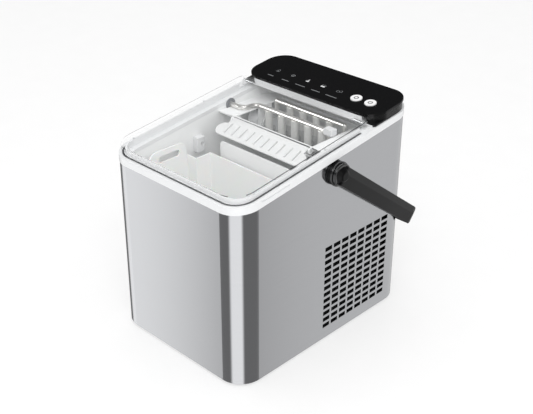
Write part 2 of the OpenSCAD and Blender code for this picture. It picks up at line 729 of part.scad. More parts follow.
module water_spout() color("white") {
    translate([riser_x, spout_y, spout_z - 3]) cylinder(r = 4, h = 7);
    rod_x(3, riser_x, -unit_half - cheek_t - 20, spout_y, spout_z);
}
module drain_spout() color("white") difference() {
    union() {
        rod_y(drain_r + 2.4, back - 24, back - fit, drain_x, drain_z);
        translate([drain_x - 11, back - panel_t - 3, drain_z - 11]) cube([22, 2.8, 22]);
    }
    rod_y(drain_r, back - 22, back + 5, drain_x, drain_z);
}
module drain_plug() color("#333333") {
    rod_y(drain_r - run_fit, back - 14, back + 1, drain_x, drain_z);
    rod_y(drain_r + 4, back + fit, back + 4, drain_x, drain_z);
}

// ---- cooling unit ----
comp_x = -half_w + comp_r + 12;
comp_y = back - comp_r - 14;
comp_z = floor_z + pan_t + 8;
plate_t = 2.5;
plate_half = comp_r - 5;
module compressor() color("#202020") {
    translate([comp_x, comp_y, comp_z + plate_t]) rotate_extrude() polygon([[0, 0], [comp_r - 1, 0],
        [comp_r, 3], [comp_r, comp_h - 16], [comp_r - 5, comp_h - 7], [0, comp_h - plate_t]]);
    block([comp_x - plate_half, comp_y - plate_half, comp_z],
        [comp_x + plate_half, comp_y + plate_half, comp_z + plate_t]);
}
module rotate_about(x, y, a) translate([x, y, 0]) rotate([0, 0, a]) children();
module compressor_mounts() color("#111111") for (a = [45:90:315]) rotate_about(comp_x, comp_y, a)
    translate([comp_r + 3, 0, floor_z + pan_t]) cylinder(r = 6, h = comp_z - floor_z - pan_t);

cond_x = half_w - sheet_t - 3 - cond_t;
cond_y0 = vent_y0 - 4;
cond_y1 = vent_y1 + 3;
cond_z0 = floor_z + pan_wall + 2;
cond_z1 = bay_floor - liner_t - 4;
fin_count = 18;
module condenser() color("#8a8f96") {
    for (i = [0:fin_count - 1])
        translate([cond_x, cond_y0 + i*(cond_y1 - cond_y0 - 0.8)/(fin_count - 1), cond_z0])
            cube([cond_t, 0.8, cond_z1 - cond_z0]);
    for (j = [0:5]) rod_y(3, cond_y0 - 4, cond_y1 + 4, cond_x + cond_t/2,
        cond_z0 + 9 + j*(cond_z1 - cond_z0 - 18)/5);
}
fan_x = cond_x - 14;
fan_y = (cond_y0 + cond_y1)/2;
fan_z = (cond_z0 + cond_z1)/2;
shroud_r = fan_r + 2;
hub_r = 14;
module fan_shroud() color("#2a2a2a") difference() {
    block([fan_x - 9, fan_y - shroud_r - 4, fan_z - shroud_r - 4], [cond_x - 1, fan_y + shroud_r + 4, fan_z + shroud_r + 4]);
    rod_x(shroud_r, fan_x - 7, cond_x + 1, fan_y, fan_z);
    rod_x(3, fan_x - 10, fan_x, fan_y, fan_z);
    for (a = [0:90:270]) translate([fan_x - 10, fan_y, fan_z]) rotate([a + 45, 0, 0]) intersection() {
        rod_x(shroud_r - 2, 0, 5, 0, 0);
        block([-1, 3, 3], [6, big, big]);
    }
}
module fan_motor() color("#454545") {
    rod_x(15, fan_x - 32, fan_x - 9, fan_y, fan_z);
    rod_x(2.5, fan_x - 9 - eps, fan_x + 2, fan_y, fan_z);
}
module fan_blade() color("#333333") translate([fan_x, fan_y, fan_z]) difference() {
    union() {
        rod_x(hub_r, -5, 6, 0, 0);
        for (i = [0:fan_blades - 1]) rotate([i*360/fan_blades, 0, 0])
            translate([1, -7, hub_r - 2]) rotate([0, 0, 28]) cube([1.6, 15, fan_r - hub_r - 3]);
    }
    rod_x(2.5 + run_fit, -6, 3, 0, 0);
}
module filter_drier() color("#b87333") {
    translate([comp_x + 52, back - 24, floor_z + 60]) cylinder(r = 9, h = 44);
    translate([comp_x + 52, back - 24, floor_z + 52]) cylinder(r = 3, h = 60);
}
line_r = 3;
dis_x = comp_x + 10;
module discharge_line() color("#b87333") {
    translate([dis_x, comp_y - 20, comp_z + comp_h - 6]) cylinder(r = line_r, h = 10);
    translate([dis_x, comp_y - 20, comp_z + comp_h + 4]) sphere(line_r);
    rod_x(line_r, dis_x, comp_x + comp_r + 12, comp_y - 20, comp_z + comp_h + 4);
}
suc_x = comp_x - 14;
module suction_line() color("#b87333") {
    translate([suc_x, comp_y + 12, comp_z + comp_h - 6]) cylinder(r = line_r + 0.6, h = 12);
    translate([suc_x, comp_y + 12, comp_z + comp_h + 6]) sphere(line_r + 0.6);
    rod_x(line_r + 0.6, -liner_x - liner_t - 8, suc_x, comp_y + 12, comp_z + comp_h + 6);
}
valve_x = comp_x + comp_r + 22;
module hot_gas_valve() color("#c9a24b") {
    block([valve_x - 10, comp_y - 30, comp_z + comp_h - 8], [valve_x + 8, comp_y - 10, comp_z + comp_h + 10]);
    translate([valve_x - 1, comp_y - 20, comp_z + comp_h - 26]) cylinder(r = 8, h = 18);
}

module power_inlet() color("#1c1c1c") difference() {
    union() {
        block([inlet_x - inlet_w/2 + fit, back - 22, inlet_z - inlet_h/2 + fit],
            [inlet_x + inlet_w/2 - fit, back + 0.5, inlet_z + inlet_h/2 - fit]);
        block([inlet_x - 26, back, inlet_z - inlet_h/2 - 3], [inlet_x + 26, back + 2.5, inlet_z + inlet_h/2 + 3]);
    }
    block([inlet_x - inlet_w/2 + 2.5, back - 16, inlet_z - inlet_h/2 + 2.5],
        [inlet_x + inlet_w/2 - 2.5, back + 5, inlet_z + inlet_h/2 - 2.5]);
    for (side = [-1, 1]) rod_y(1.7, back - 1, back + 5, inlet_x + side*20.5, inlet_z);
}
module inlet_screws() color("silver") for (side = [-1, 1]) {
    rod_y(1.6, back - panel_t, back + 2.5, inlet_x + side*20.5, inlet_z);
    rod_y(3, back + 2.5, back + 4, inlet_x + side*20.5, inlet_z);
}
module power_board() color("darkgreen") {
    block([-14, back - 46, floor_z + pan_t + 6], [34, back - 26, floor_z + pan_t + 7.6]);
    block([-8, back - 44, floor_z + pan_t + 7.6], [10, back - 30, floor_z + pan_t + 24]);
    for (x = [16, 26]) translate([x, back - 36, floor_z + pan_t + 7.6]) cylinder(r = 4, h = 14);
}
screw_z = [floor_z + 50, floor_z + 160, floor_z + 215];
module rear_screws() color("silver") for (side = [-1, 1], z = screw_z) {
    rod_y(3.2, back, back + 1.6, side*(back_open - 6), z);
}
module base_screws() color("silver") for (side = [-1, 1], y = [front + foot_inset, back - foot_inset])
    translate([side*(half_w - 50), y, floor_z - 1.4]) cylinder(r = 3.6, h = 1.4);

steel_wrap();
rear_panel();
base_pan();
rubber_feet();
top_frame();
inner_liner();
insulation();
bin_baffle();
unit_deck();
evaporator_tube();
freezing_fingers();
tube_end_block();
tube_grommet();
sensor_emitter();
sensor_receiver();
tray_motor();
water_tray();
ice_shovel();
ice_basket();
lid();
lid_hinge_pins();
hinge_posts();
lid_bumpers();
control_base();
control_cover();
indicator_lenses();
control_board();
tact_switches();
button_mode();
button_power();
handle();
handle_collars();
pivot_bosses();
pivot_nuts();
water_pump();
pump_hose();
water_spout();
drain_spout();
drain_plug();
compressor();
compressor_mounts();
condenser();
fan_shroud();
fan_motor();
fan_blade();
filter_drier();
discharge_line();
suction_line();
hot_gas_valve();
power_inlet();
inlet_screws();
power_board();
rear_screws();
base_screws();
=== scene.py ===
import json
import math
import bpy
from mathutils import Matrix, Vector


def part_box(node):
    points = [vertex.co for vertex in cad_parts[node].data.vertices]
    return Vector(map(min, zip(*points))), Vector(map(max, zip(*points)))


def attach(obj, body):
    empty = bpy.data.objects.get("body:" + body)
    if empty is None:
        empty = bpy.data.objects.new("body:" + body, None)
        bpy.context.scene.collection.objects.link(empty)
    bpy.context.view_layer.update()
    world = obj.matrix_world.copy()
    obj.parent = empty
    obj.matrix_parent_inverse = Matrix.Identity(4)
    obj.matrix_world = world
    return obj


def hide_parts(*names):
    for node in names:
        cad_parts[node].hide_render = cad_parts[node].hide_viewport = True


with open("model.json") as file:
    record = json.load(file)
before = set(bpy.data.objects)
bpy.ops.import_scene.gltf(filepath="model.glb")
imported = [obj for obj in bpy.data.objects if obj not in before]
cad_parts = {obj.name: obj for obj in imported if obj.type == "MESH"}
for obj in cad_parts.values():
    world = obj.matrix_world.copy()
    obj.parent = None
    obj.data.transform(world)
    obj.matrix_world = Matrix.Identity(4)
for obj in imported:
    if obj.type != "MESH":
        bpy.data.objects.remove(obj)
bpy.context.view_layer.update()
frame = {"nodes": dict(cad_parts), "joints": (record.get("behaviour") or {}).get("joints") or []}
print("model loaded")

mm = 0.001

# places on the cabinet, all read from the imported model
joints = {joint["name"]: joint for joint in frame["joints"]}
steelLow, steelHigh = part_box("steel_wrap")
halfWidth = steelHigh.x
frontY, backY = steelLow.y, steelHigh.y
pressAxis = Vector(joints["mode_press"]["axis"])
slope = math.atan2(pressAxis.y, -pressAxis.z)      # the top rises to the rear by this angle
rimFront = steelHigh.z - (backY - frontY) * math.tan(slope)   # steel rim height at the front


def alongSlope(point):
    # place of a point on the tilted top: distance up the slope, height above the steel rim
    y, z = point[1] - frontY, point[2] - rimFront
    return y * math.cos(slope) + z * math.sin(slope), z * math.cos(slope) - y * math.sin(slope)


# small modelling helpers

def clearSelection():
    if bpy.context.object and bpy.context.object.mode != "OBJECT":
        bpy.ops.object.mode_set(mode="OBJECT")
    bpy.ops.object.select_all(action="DESELECT")


def pick(piece):
    clearSelection()
    bpy.context.view_layer.objects.active = piece
    piece.select_set(True)


def addBox(name, low, high):
    low, high = Vector(low), Vector(high)
    clearSelection()
    bpy.ops.mesh.primitive_cube_add(size=1, location=(low + high) / 2)
    piece = bpy.context.object
    piece.name = name
    piece.scale = high - low
    bpy.ops.object.transform_apply(location=True, rotation=True, scale=True)
    return piece


def addRod(name, radius, start, end, sides=64, endRadius=None):
    # a round bar or cone between two points
    start, end = Vector(start), Vector(end)
    turn = (end - start).to_track_quat("Z", "Y").to_euler()
    clearSelection()
    bpy.ops.mesh.primitive_cone_add(vertices=sides, radius1=radius,
        radius2=radius if endRadius is None else endRadius,
        depth=(end - start).length, location=(start + end) / 2, rotation=turn)
    piece = bpy.context.object
    piece.name = name
    bpy.ops.object.transform_apply(location=True, rotation=True, scale=True)
    return piece


def chooseEdges(piece, test):
    # selects the edges whose two end points pass the test, and goes into edit mode
    pick(piece)
    bpy.context.tool_settings.mesh_select_mode = (False, True, False)
    mesh = piece.data
    for part in list(mesh.vertices) + list(mesh.polygons):
        part.select = False
    for edge in mesh.edges:
        a, b = (mesh.vertices[i].co for i in edge.vertices)
        edge.select = bool(test(a, b))
    bpy.ops.object.mode_set(mode="EDIT")


def chooseFaces(piece, test):
    pick(piece)
    bpy.context.tool_settings.mesh_select_mode = (False, False, True)
    mesh = piece.data
    for part in list(mesh.vertices) + list(mesh.edges):
        part.select = False
    for face in mesh.polygons:
        face.select = bool(test(face.center, face.normal))
    bpy.ops.object.mode_set(mode="EDIT")


def choosePoints(piece, test):
    pick(piece)
    bpy.context.tool_settings.mesh_select_mode = (True, False, False)
    mesh = piece.data
    for part in list(mesh.edges) + list(mesh.polygons):
        part.select = False
    for point in mesh.vertices:
        point.select = bool(test(point.co))
    bpy.ops.object.mode_set(mode="EDIT")


def scoreAcross(piece, point, normal):
    # a line of new edges all round the piece, with nothing cut away
    pick(piece)
    bpy.context.tool_settings.mesh_select_mode = (True, False, False)
    bpy.ops.object.mode_set(mode="EDIT")
    bpy.ops.mesh.select_all(action="SELECT")
    bpy.ops.mesh.bisect(plane_co=point, plane_no=normal)
    leaveEdit()


def leaveEdit():
    bpy.ops.object.mode_set(mode="OBJECT")


def roundUprights(piece, radius, test=lambda point: True, segments=12):
    def upright(a, b):
        return abs(a.x - b.x) < 1e-6 and abs(a.y - b.y) < 1e-6 and test(a)
    chooseEdges(piece, upright)
    bpy.ops.mesh.bevel(offset=radius, segments=segments, profile=0.5, affect="EDGES")
    leaveEdit()


def slab(name, low, high, frontRadius, rearRadius, segments=12):
    # an upright block whose front and rear corners have their own radius
    piece = addBox(name, low, high)
    middle = (low[1] + high[1]) / 2
    if frontRadius:
        roundUprights(piece, frontRadius, lambda point: point.y < middle, segments)
    if rearRadius:
        roundUprights(piece, rearRadius, lambda point: point.y > middle and abs(point.y - high[1]) < 1e-5,
            segments)
    return piece


def sliceOff(piece, point, normal):
    # cuts away what lies on the normal's side and closes the cut
    pick(piece)
    bpy.context.tool_settings.mesh_select_mode = (True, False, False)
    bpy.ops.object.mode_set(mode="EDIT")
    bpy.ops.mesh.select_all(action="SELECT")
    bpy.ops.mesh.bisect(plane_co=point, plane_no=normal, use_fill=True, clear_outer=True)
    leaveEdit()


def combine(piece, tool, operation):
    pick(piece)
    modifier = piece.modifiers.new("combine", "BOOLEAN")
    modifier.operation = operation
    modifier.solver = "EXACT"
    modifier.object = tool
    bpy.ops.object.modifier_apply(modifier=modifier.name)
    bpy.data.objects.remove(tool, do_unlink=True)


def subtract(piece, tool):
    combine(piece, tool, "DIFFERENCE")


def unite(piece, tool):
    combine(piece, tool, "UNION")


def soften(piece, width, segments=2, angle=35):
    # rounds every sharp edge a little, as a mould or a deburring tool leaves it
    pick(piece)
    modifier = piece.modifiers.new("soften", "BEVEL")
    modifier.width = width
    modifier.segments = segments
    modifier.limit_method = "ANGLE"
    modifier.angle_limit = math.radians(angle)
    modifier.use_clamp_overlap = True
    bpy.ops.object.modifier_apply(modifier=modifier.name)


def smooth(piece, angle=38):
    pick(piece)
    bpy.ops.object.shade_smooth_by_angle(angle=math.radians(angle))
    modifier = piece.modifiers.new("level", "WEIGHTED_NORMAL")
    modifier.keep_sharp = True
    bpy.ops.object.modifier_apply(modifier=modifier.name)


def toSlope(piece):
    # from flat drawing space (y up the slope, z off it) to its place on the cabinet
    piece.data.transform(Matrix.Translation((0, frontY, rimFront)) @ Matrix.Rotation(slope, 4, "X"))
    piece.data.update()
    return piece


def joinPieces(pieces):
    clearSelection()
    for piece in pieces:
        piece.select_set(True)
    bpy.context.view_layer.objects.active = pieces[0]
    if len(pieces) > 1:
        bpy.ops.object.join()
    return bpy.context.object


def mirrored(piece):
    # a second copy with its own mesh on the other side of the centre plane
    clearSelection()
    twin = piece.copy()
    twin.data = piece.data.copy()
    bpy.context.scene.collection.objects.link(twin)
    twin.data.transform(Matrix.Scale(-1, 4, (1, 0, 0)))
    twin.data.flip_normals()
    twin.data.update()
    return twin


def finish(piece, name, body, material, stands=()):
    piece.name = name
    piece.data.name = name
    piece.data.materials.clear()
    piece.data.materials.append(material)
    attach(piece, body)
    if stands:
        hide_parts(*stands)
    return piece


# materials

def linearColour(code):
    channels = [int(code[i:i + 2], 16) / 255 for i in (0, 2, 4)]
    return [c / 12.92 if c <= 0.04045 else ((c + 0.055) / 1.055) ** 2.4 for c in channels] + [1.0]


def addNode(tree, kind, settings=None, links=None):
    node = tree.nodes.new(kind)
    for key, value in (settings or {}).items():
        if isinstance(key, str) and hasattr(node, key):
            setattr(node, key, value)
        else:
            node.inputs[key].default_value = value
    for key, source in (links or {}).items():
        tree.links.new(source, node.inputs[key])
    return node


def makeSurface(name, light, dark, roughness, grain, bump=0.02, **sockets):
    # light and dark are the two tones of the surface, grain its size in mm along X, Y and Z,
    # roughness its lowest and highest value, bump the depth of the grain in mm
    material = bpy.data.materials.new(name)
    material.use_nodes = True
    tree = material.node_tree
    tree.nodes.clear()
    place = addNode(tree, "ShaderNodeTexCoord")
    sized = addNode(tree, "ShaderNodeMapping", {"Scale": [1 / (size * mm) for size in grain]},
        {"Vector": place.outputs["Object"]})
    noise = addNode(tree, "ShaderNodeTexNoise", {"Scale": 1.0, "Detail": 3.0, "Roughness": 0.6},
        {"Vector": sized.outputs["Vector"]})
    broad = addNode(tree, "ShaderNodeTexNoise", {"Scale": 1 / (60 * mm), "Detail": 1.0},
        {"Vector": place.outputs["Object"]})
    tone = addNode(tree, "ShaderNodeMix",
        {"data_type": "RGBA", 6: linearColour(dark), 7: linearColour(light)},
        {0: noise.outputs["Fac"]})
    mixed = addNode(tree, "ShaderNodeMath", {"operation": "ADD"},
        {0: noise.outputs["Fac"], 1: broad.outputs["Fac"]})
    rough = addNode(tree, "ShaderNodeMapRange", {1: 0.7, 2: 1.3, 3: roughness[0], 4: roughness[1]},
        {0: mixed.outputs[0]})
    bumped = addNode(tree, "ShaderNodeBump", {"Strength": 0.6, "Distance": bump * mm},
        {"Height": noise.outputs["Fac"]})
    shader = addNode(tree, "ShaderNodeBsdfPrincipled", sockets,
        {"Base Color": tone.outputs[2], "Roughness": rough.outputs[0], "Normal": bumped.outputs["Normal"]})
    addNode(tree, "ShaderNodeOutputMaterial", {}, {"Surface": shader.outputs[0]})
    return material


finishes = {"steelLight": "CDCED0", "steelDark": "C6C7CA", "white": "EAEBEC", "panel": "121213",
    "handle": "0A0A0B"}

# stainless sheet, belt brushed side to side: fine level lines and highlights drawn out up and down.
# Real lines are about 0.1 mm apart, and are drawn 0.8 mm apart so that they show.
brushedSteel = makeSurface("brushedStainlessSheet", finishes["steelLight"], finishes["steelDark"],
    (0.12, 0.13),
    (220, 220, 0.8), 0.0006, **{"Metallic": 1.0, "Anisotropic": 0.9, "Anisotropic Rotation": 0.25})
steelTree = brushedSteel.node_tree
steelShader = steelTree.nodes["Principled BSDF"]
brushing = addNode(steelTree, "ShaderNodeTangent", {"direction_type": "RADIAL", "axis": "Z"})
steelTree.links.new(brushing.outputs[0], steelShader.inputs["Tangent"])

# white ABS, injection moulded in a polished tool: even, softly shiny
whiteAbs = makeSurface("whiteMouldedAbs", finishes["white"], "E6E7E8", (0.26, 0.36), (1.2, 1.2, 1.2), 0.003,
    **{"Specular IOR Level": 0.5})
# the same plastic inside the bin, a little duller where water and ice touch it. Painted light: it is made
# paler than the band's white to lift the shade inside the bin
litLinerAbs = makeSurface("whiteLinerAbsPaintedLight", "FAFBFB", "F5F6F6", (0.34, 0.48), (2.5, 2.5, 2.5), 0.006)
# ice basket and shovel, white polypropylene with a waxy sheen
basketPolypropylene = makeSurface("whitePolypropylene", "FAFAF9", "F4F5F4", (0.38, 0.5), (1.6, 1.6, 1.6),
    0.006,
    **{"Subsurface Weight": 0.15, "Subsurface Scale": 0.003})
# ice shovel, the same plastic made a shade greyer: painted shade for its place in the bin under the lid
shadedShovelPolypropylene = makeSurface("shadedWhitePolypropylene", "EAEBEB", "E2E3E3", (0.4, 0.52),
    (1.6, 1.6, 1.6), 0.006)
# black panel, hard-coated acrylic over black print: deep and glossy
panelAcrylic = makeSurface("blackPanelAcrylic", finishes["panel"], "0F0F10", (0.1, 0.16), (3, 3, 3), 0.001,
    **{"Specular IOR Level": 0.28})
# black ABS of the control housing, polished
housingAbs = makeSurface("blackHousingAbs", "101011", "0C0C0D", (0.24, 0.32), (1.4, 1.4, 1.4), 0.003)
# carry handle, black nylon with a fine satin spark texture
handleNylon = makeSurface("blackHandleNylon", "0E0E0F", finishes["handle"], (0.3, 0.38), (0.9, 0.9, 0.9),
    0.008,
    **{"Specular IOR Level": 0.22})
# pivot collar, black ABS, glossier than the arm
collarAbs = makeSurface("blackCollarAbs", "0F0F10", "0A0A0B", (0.12, 0.16), (2, 2, 2), 0.002,
    **{"Coat Weight": 1.0, "Coat Roughness": 0.1})
# push buttons, white ABS with a fine matt texture
buttonAbs = makeSurface("whiteButtonAbs", "F6F6F6", "EEEEEE", (0.34, 0.42), (0.8, 0.8, 0.8), 0.004)
# grey screen print on the panel
symbolPrint = makeSurface("greyScreenPrint", "8A8C8E", "7C7E80", (0.3, 0.4), (0.8, 0.8, 0.8), 0.002)
glyphPrint = makeSurface("greyGlyphPrint", "3E4043", "36383B", (0.35, 0.45), (0.8, 0.8, 0.8), 0.002)
brightPrint = makeSurface("whiteScreenPrint", "E6E7E8", "D8D9DA", (0.3, 0.4), (0.8, 0.8, 0.8), 0.002)
# nitrile rubber feet and mounts: dull with a dusty grain
footRubber = makeSurface("blackNitrileRubber", "1B1B1B", "121212", (0.75, 0.9), (0.7, 0.7, 0.7), 0.03)
# bumpers of soft clear silicone
bumperSilicone = makeSurface("clearSilicone", "DCDEDF", "CFD1D3", (0.3, 0.4), (1, 1, 1), 0.005)
# rear sheet and base, powder coated: a light orange-peel
rearPowder = makeSurface("greyPowderCoat", "3C3D3F", "2F3031", (0.48, 0.6), (1.3, 1.3, 1.3), 0.03)
# galvanised base tray with faint crystals of zinc
zincSheet = makeSurface("galvanisedSheet", "A6A9AC", "8C9094", (0.36, 0.56), (7, 7, 7), 0.01,
    **{"Metallic": 1.0})
# polyurethane foam, cut and pale
foamCells = makeSurface("pouredFoam", "EDE6D2", "DDD3B8", (0.85, 0.95), (2, 2, 2), 0.25)
# nickel plated copper of the evaporator: warm, soft shine
nickelPlate = makeSurface("nickelPlate", "F4F3F0", "ECEAE6", (0.27, 0.33), (12, 12, 12), 0.0005,
    **{"Metallic": 0.85})
# freezing fingers, tinned copper dulled by water: pale and satin
tinnedCopper = makeSurface("tinnedCopper", "F0F0EE", "E0E0DD", (0.36, 0.46), (5, 5, 5), 0.001,
    **{"Metallic": 0.4})
# zinc plated screws and pins
platedScrew = makeSurface("zincPlatedScrew", "D0D1D2", "B2B4B6", (0.25, 0.4), (0.6, 0.6, 0.6), 0.005,
    **{"Metallic": 1.0})
# condenser fins, coloured matt black over aluminium: painted shade, so that the vents in the wrap read dark
finShadePaint = makeSurface("blackFinPaintedShade", "1C1D1F", "141415", (0.6, 0.75), (1, 1, 1), 0.01)
# drawn copper tube and filter, a little tarnished
drawnCopper = makeSurface("drawnCopper", "C98A62", "9C5F3E", (0.24, 0.42), (6, 6, 6), 0.006,
    **{"Metallic": 1.0})
# compressor shell, glossy black stove enamel with slight flow marks
shellEnamel = makeSurface("blackStoveEnamel", "1A1A1C", "111112", (0.16, 0.28), (5, 5, 5), 0.02)
# circuit board lacquer
boardLacquer = makeSurface("greenBoardLacquer", "1F5A38", "174A2C", (0.25, 0.4), (0.9, 0.9, 0.9), 0.01)
# pump and switches, unpainted grey moulding
greyMoulding = makeSurface("greyMoulding", "7B7E82", "6B6E72", (0.4, 0.55), (1, 1, 1), 0.006)
# water tray and hose, natural polypropylene: cloudy, lets some light through
milkyPolypropylene = makeSurface("milkyPolypropylene", "FAFBFB", "F2F4F5", (0.28, 0.4), (2, 2, 2), 0.004,
    **{"Alpha": 0.86})


def makeClear(name, light, dark, faceAlpha, edgeAlpha, roughness):
    # clear moulding: next to nothing where it is seen straight on, and a painted dark line of shade where it
    # turns away
    material = makeSurface(name, light, light, roughness, (30, 30, 30), 0.002, **{"Specular IOR Level": 0.6})
    tree = material.node_tree
    shader = tree.nodes["Principled BSDF"]
    edge = addNode(tree, "ShaderNodeLayerWeight", {"Blend": 0.35})
    alpha = addNode(tree, "ShaderNodeMapRange", {1: 0.62, 2: 0.95, 3: faceAlpha, 4: edgeAlpha},
        {0: edge.outputs["Facing"]})
    # painted shade: share of the dark tone, rising where the surface turns away
    edgeShadeShare = addNode(tree, "ShaderNodeMapRange", {1: 0.5, 2: 0.9, 3: 0.0, 4: 1.0},
        {0: edge.outputs["Facing"]})
    tone = addNode(tree, "ShaderNodeMix",
        {"data_type": "RGBA", 6: linearColour(light), 7: linearColour(dark)},
        {0: edgeShadeShare.outputs[0]})
    tree.links.new(alpha.outputs[0], shader.inputs["Alpha"])
    tree.links.new(tone.outputs[2], shader.inputs["Base Color"])
    return material


# lid of clear styrene acrylonitrile: nearly invisible on the flat, with painted grey shade along its edges
lidClear = makeClear("clearLidStyrene", "F4F6F7", "6A6E72", 0.035, 0.5, (0.03, 0.07))
# the lid's seat and shoulder: a dark, nearly opaque strip of painted shade standing in for the shadow line
# along the seam
lidSeamShade = makeClear("clearLidSeamShade", "303235", "1C1D1E", 0.88, 0.95, (0.05, 0.1))
# sleeves over the fingers, thin clear ice-like moulding, with painted grey shade where they turn away
thimbleClear = makeClear("clearSleeve", "F6F8F9", "B4B9BE", 0.14, 0.5, (0.04, 0.1))
print("materials made")


def plainCad(node, material):
    mesh = frame["nodes"][node].data
    mesh.materials.clear()
    mesh.materials.append(material)


cadFinishes = {
    "steel_wrap": brushedSteel, "base_pan": zincSheet, "insulation": foamCells,
    "tube_grommet": greyMoulding, "lid_hinge_pins": platedScrew,
    "lid_bumpers": bumperSilicone, "control_board": boardLacquer, "tact_switches": greyMoulding,
    "pivot_nuts": platedScrew, "water_pump": greyMoulding, "pump_hose": milkyPolypropylene,
    "water_spout": whiteAbs, "compressor": shellEnamel, "compressor_mounts": footRubber,
    "condenser": finShadePaint,
    "fan_shroud": housingAbs, "fan_motor": shellEnamel, "fan_blade": housingAbs, "filter_drier": drawnCopper,
    "discharge_line": drawnCopper, "suction_line": drawnCopper, "hot_gas_valve": drawnCopper,
    "power_board": boardLacquer, "base_screws": platedScrew, "drain_spout": whiteAbs}
for node, material in cadFinishes.items():
    plainCad(node, material)


def refined(name, node, body, material, edge=0.4, segments=2):
    # the model's own solid with its corners eased
    clearSelection()
    source = frame["nodes"][node]
    piece = bpy.data.objects.new(name, source.data.copy())
    bpy.context.scene.collection.objects.link(piece)
    pick(piece)
    bpy.ops.object.mode_set(mode="EDIT")
    bpy.ops.mesh.select_all(action="SELECT")
    bpy.ops.mesh.remove_doubles(threshold=1e-6)
    bpy.ops.mesh.dissolve_limited(angle_limit=math.radians(0.5))
    leaveEdit()
    soften(piece, edge * mm, segments)
    smooth(piece)
    return finish(piece, name, body, material, (node,))


refinedParts = [
    ("innerLiner", "inner_liner", "cabinet", litLinerAbs, "white_plastic", 1.0),
    ("binBaffle", "bin_baffle", "cabinet", litLinerAbs, "white_plastic", 0.5),
    ("unitDeck", "unit_deck", "cabinet", litLinerAbs, "white_plastic", 0.4),
    ("tubeEndBlock", "tube_end_block", "cabinet", whiteAbs, "white_plastic", 0.8),
    ("sensorEmitter", "sensor_emitter", "cabinet", whiteAbs, "white_plastic", 0.8),
    ("sensorReceiver", "sensor_receiver", "cabinet", whiteAbs, "white_plastic", 0.8),
    ("trayMotor", "tray_motor", "cabinet", whiteAbs, "white_plastic", 0.8),
    ("evaporatorTube", "evaporator_tube", "cabinet", nickelPlate, "nickel", 0.05),
    ("freezingFingers", "freezing_fingers", "cabinet", tinnedCopper, "nickel", 0.1),
    ("waterTray", "water_tray", "tray", milkyPolypropylene, "milky_plastic", 0.4),
    ("iceShovel", "ice_shovel", "shovel", shadedShovelPolypropylene, "white_plastic", 0.3),
    ("iceBasket", "ice_basket", "basket", basketPolypropylene, "white_plastic", 0.5),
    ("hingePosts", "hinge_posts", "cabinet", thimbleClear, "clear_plastic", 0.4),
    ("rearPanel", "rear_panel", "cabinet", rearPowder, "rear_grey", 0.4),
    ("rubberFeet", "rubber_feet", "cabinet", footRubber, "rubber_black", 0.8),
    ("powerInlet", "power_inlet", "cabinet", housingAbs, "black_satin", 0.5),
    ("inletScrews", "inlet_screws", "cabinet", platedScrew, "bright_metal", 0.4),
    ("rearScrews", "rear_screws", "cabinet", platedScrew, "bright_metal", 0.5),
    ("pivotBosses", "pivot_bosses", "cabinet", handleNylon, "black_satin", 0.6),
    ("drainPlug", "drain_plug", "drain_plug", footRubber, "black_satin", 0.8),
]
for name, node, body, material, slotName, edge in refinedParts:
    refined(name, node, body, material, edge)

# drain slots between the ribs of the ice shovel
shovelSizes = {"drop": 24, "half": 64 * mm, "slots": 10, "slotWidth": 1.0 * mm, "beside": 1.5 * mm,
    "near": 8 * mm, "far": 25 * mm}
shovelPivot = Vector(joints["shovel_swing"]["pos_m"])
shovelTurn = Matrix.Rotation(math.radians(shovelSizes["drop"]), 4, "X")
shovelPlace = Matrix.Translation((0, shovelPivot.y, shovelPivot.z)) @ shovelTurn
slotPitch = 2 * shovelSizes["half"] / shovelSizes["slots"]
for index in range(shovelSizes["slots"]):
    x = -shovelSizes["half"] + (index + 0.5) * slotPitch + shovelSizes["beside"]
    slot = addBox("slot", (x - shovelSizes["slotWidth"] / 2, -shovelSizes["far"], 0),
        (x + shovelSizes["slotWidth"] / 2, -shovelSizes["near"], 6 * mm))
    slot.data.transform(shovelPlace)
    subtract(bpy.data.objects["iceShovel"], slot)

# clear sleeves round the freezing fingers, one cup copied along both rows
fingerLow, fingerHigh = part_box("freezing_fingers")
sleeve = {"radius": 7.6 * mm, "topRadius": 8.4 * mm, "wall": 0.8 * mm, "height": 22 * mm, "front": 5,
    "fingerRadius": 5 * mm, "below": 2 * mm, "edge": 0.7 * mm}
fingerMiddle = (fingerLow + fingerHigh) / 2
rowGap = (fingerHigh.y - fingerLow.y) / 2 - sleeve["fingerRadius"]
span = fingerHigh.x - fingerLow.x - 2 * sleeve["fingerRadius"]
cups = []
for row, count in ((-1, sleeve["front"]), (1, sleeve["front"] - 1)):
    for index in range(count):
        x = -span / 2 + (index + (0.5 if row > 0 else 0)) * span / (sleeve["front"] - 1)
        y = fingerMiddle.y + row * rowGap
        low = fingerLow.z - sleeve["below"]
        if not cups:
            cup = addRod("sleeve", sleeve["radius"], (x, y, low), (x, y, low + sleeve["height"]), 40,
                sleeve["topRadius"])
            chooseFaces(cup, lambda centre, normal: normal.z > 0.9)
            bpy.ops.mesh.inset(thickness=sleeve["wall"])
            bpy.ops.transform.translate(value=(0, 0, sleeve["wall"] - sleeve["height"]))
            leaveEdit()
            soften(cup, sleeve["edge"], 2, 60)
            smooth(cup)
            first = Vector((x, y, 0))
            cups.append(cup)
        else:
            copied = cup.copy()
            copied.data = cup.data.copy()
            bpy.context.scene.collection.objects.link(copied)
            copied.data.transform(Matrix.Translation(Vector((x, y, 0)) - first))
            cups.append(copied)
finish(joinPieces(cups), "fingerSleeves", "cabinet", thimbleClear)
print("refined parts made")

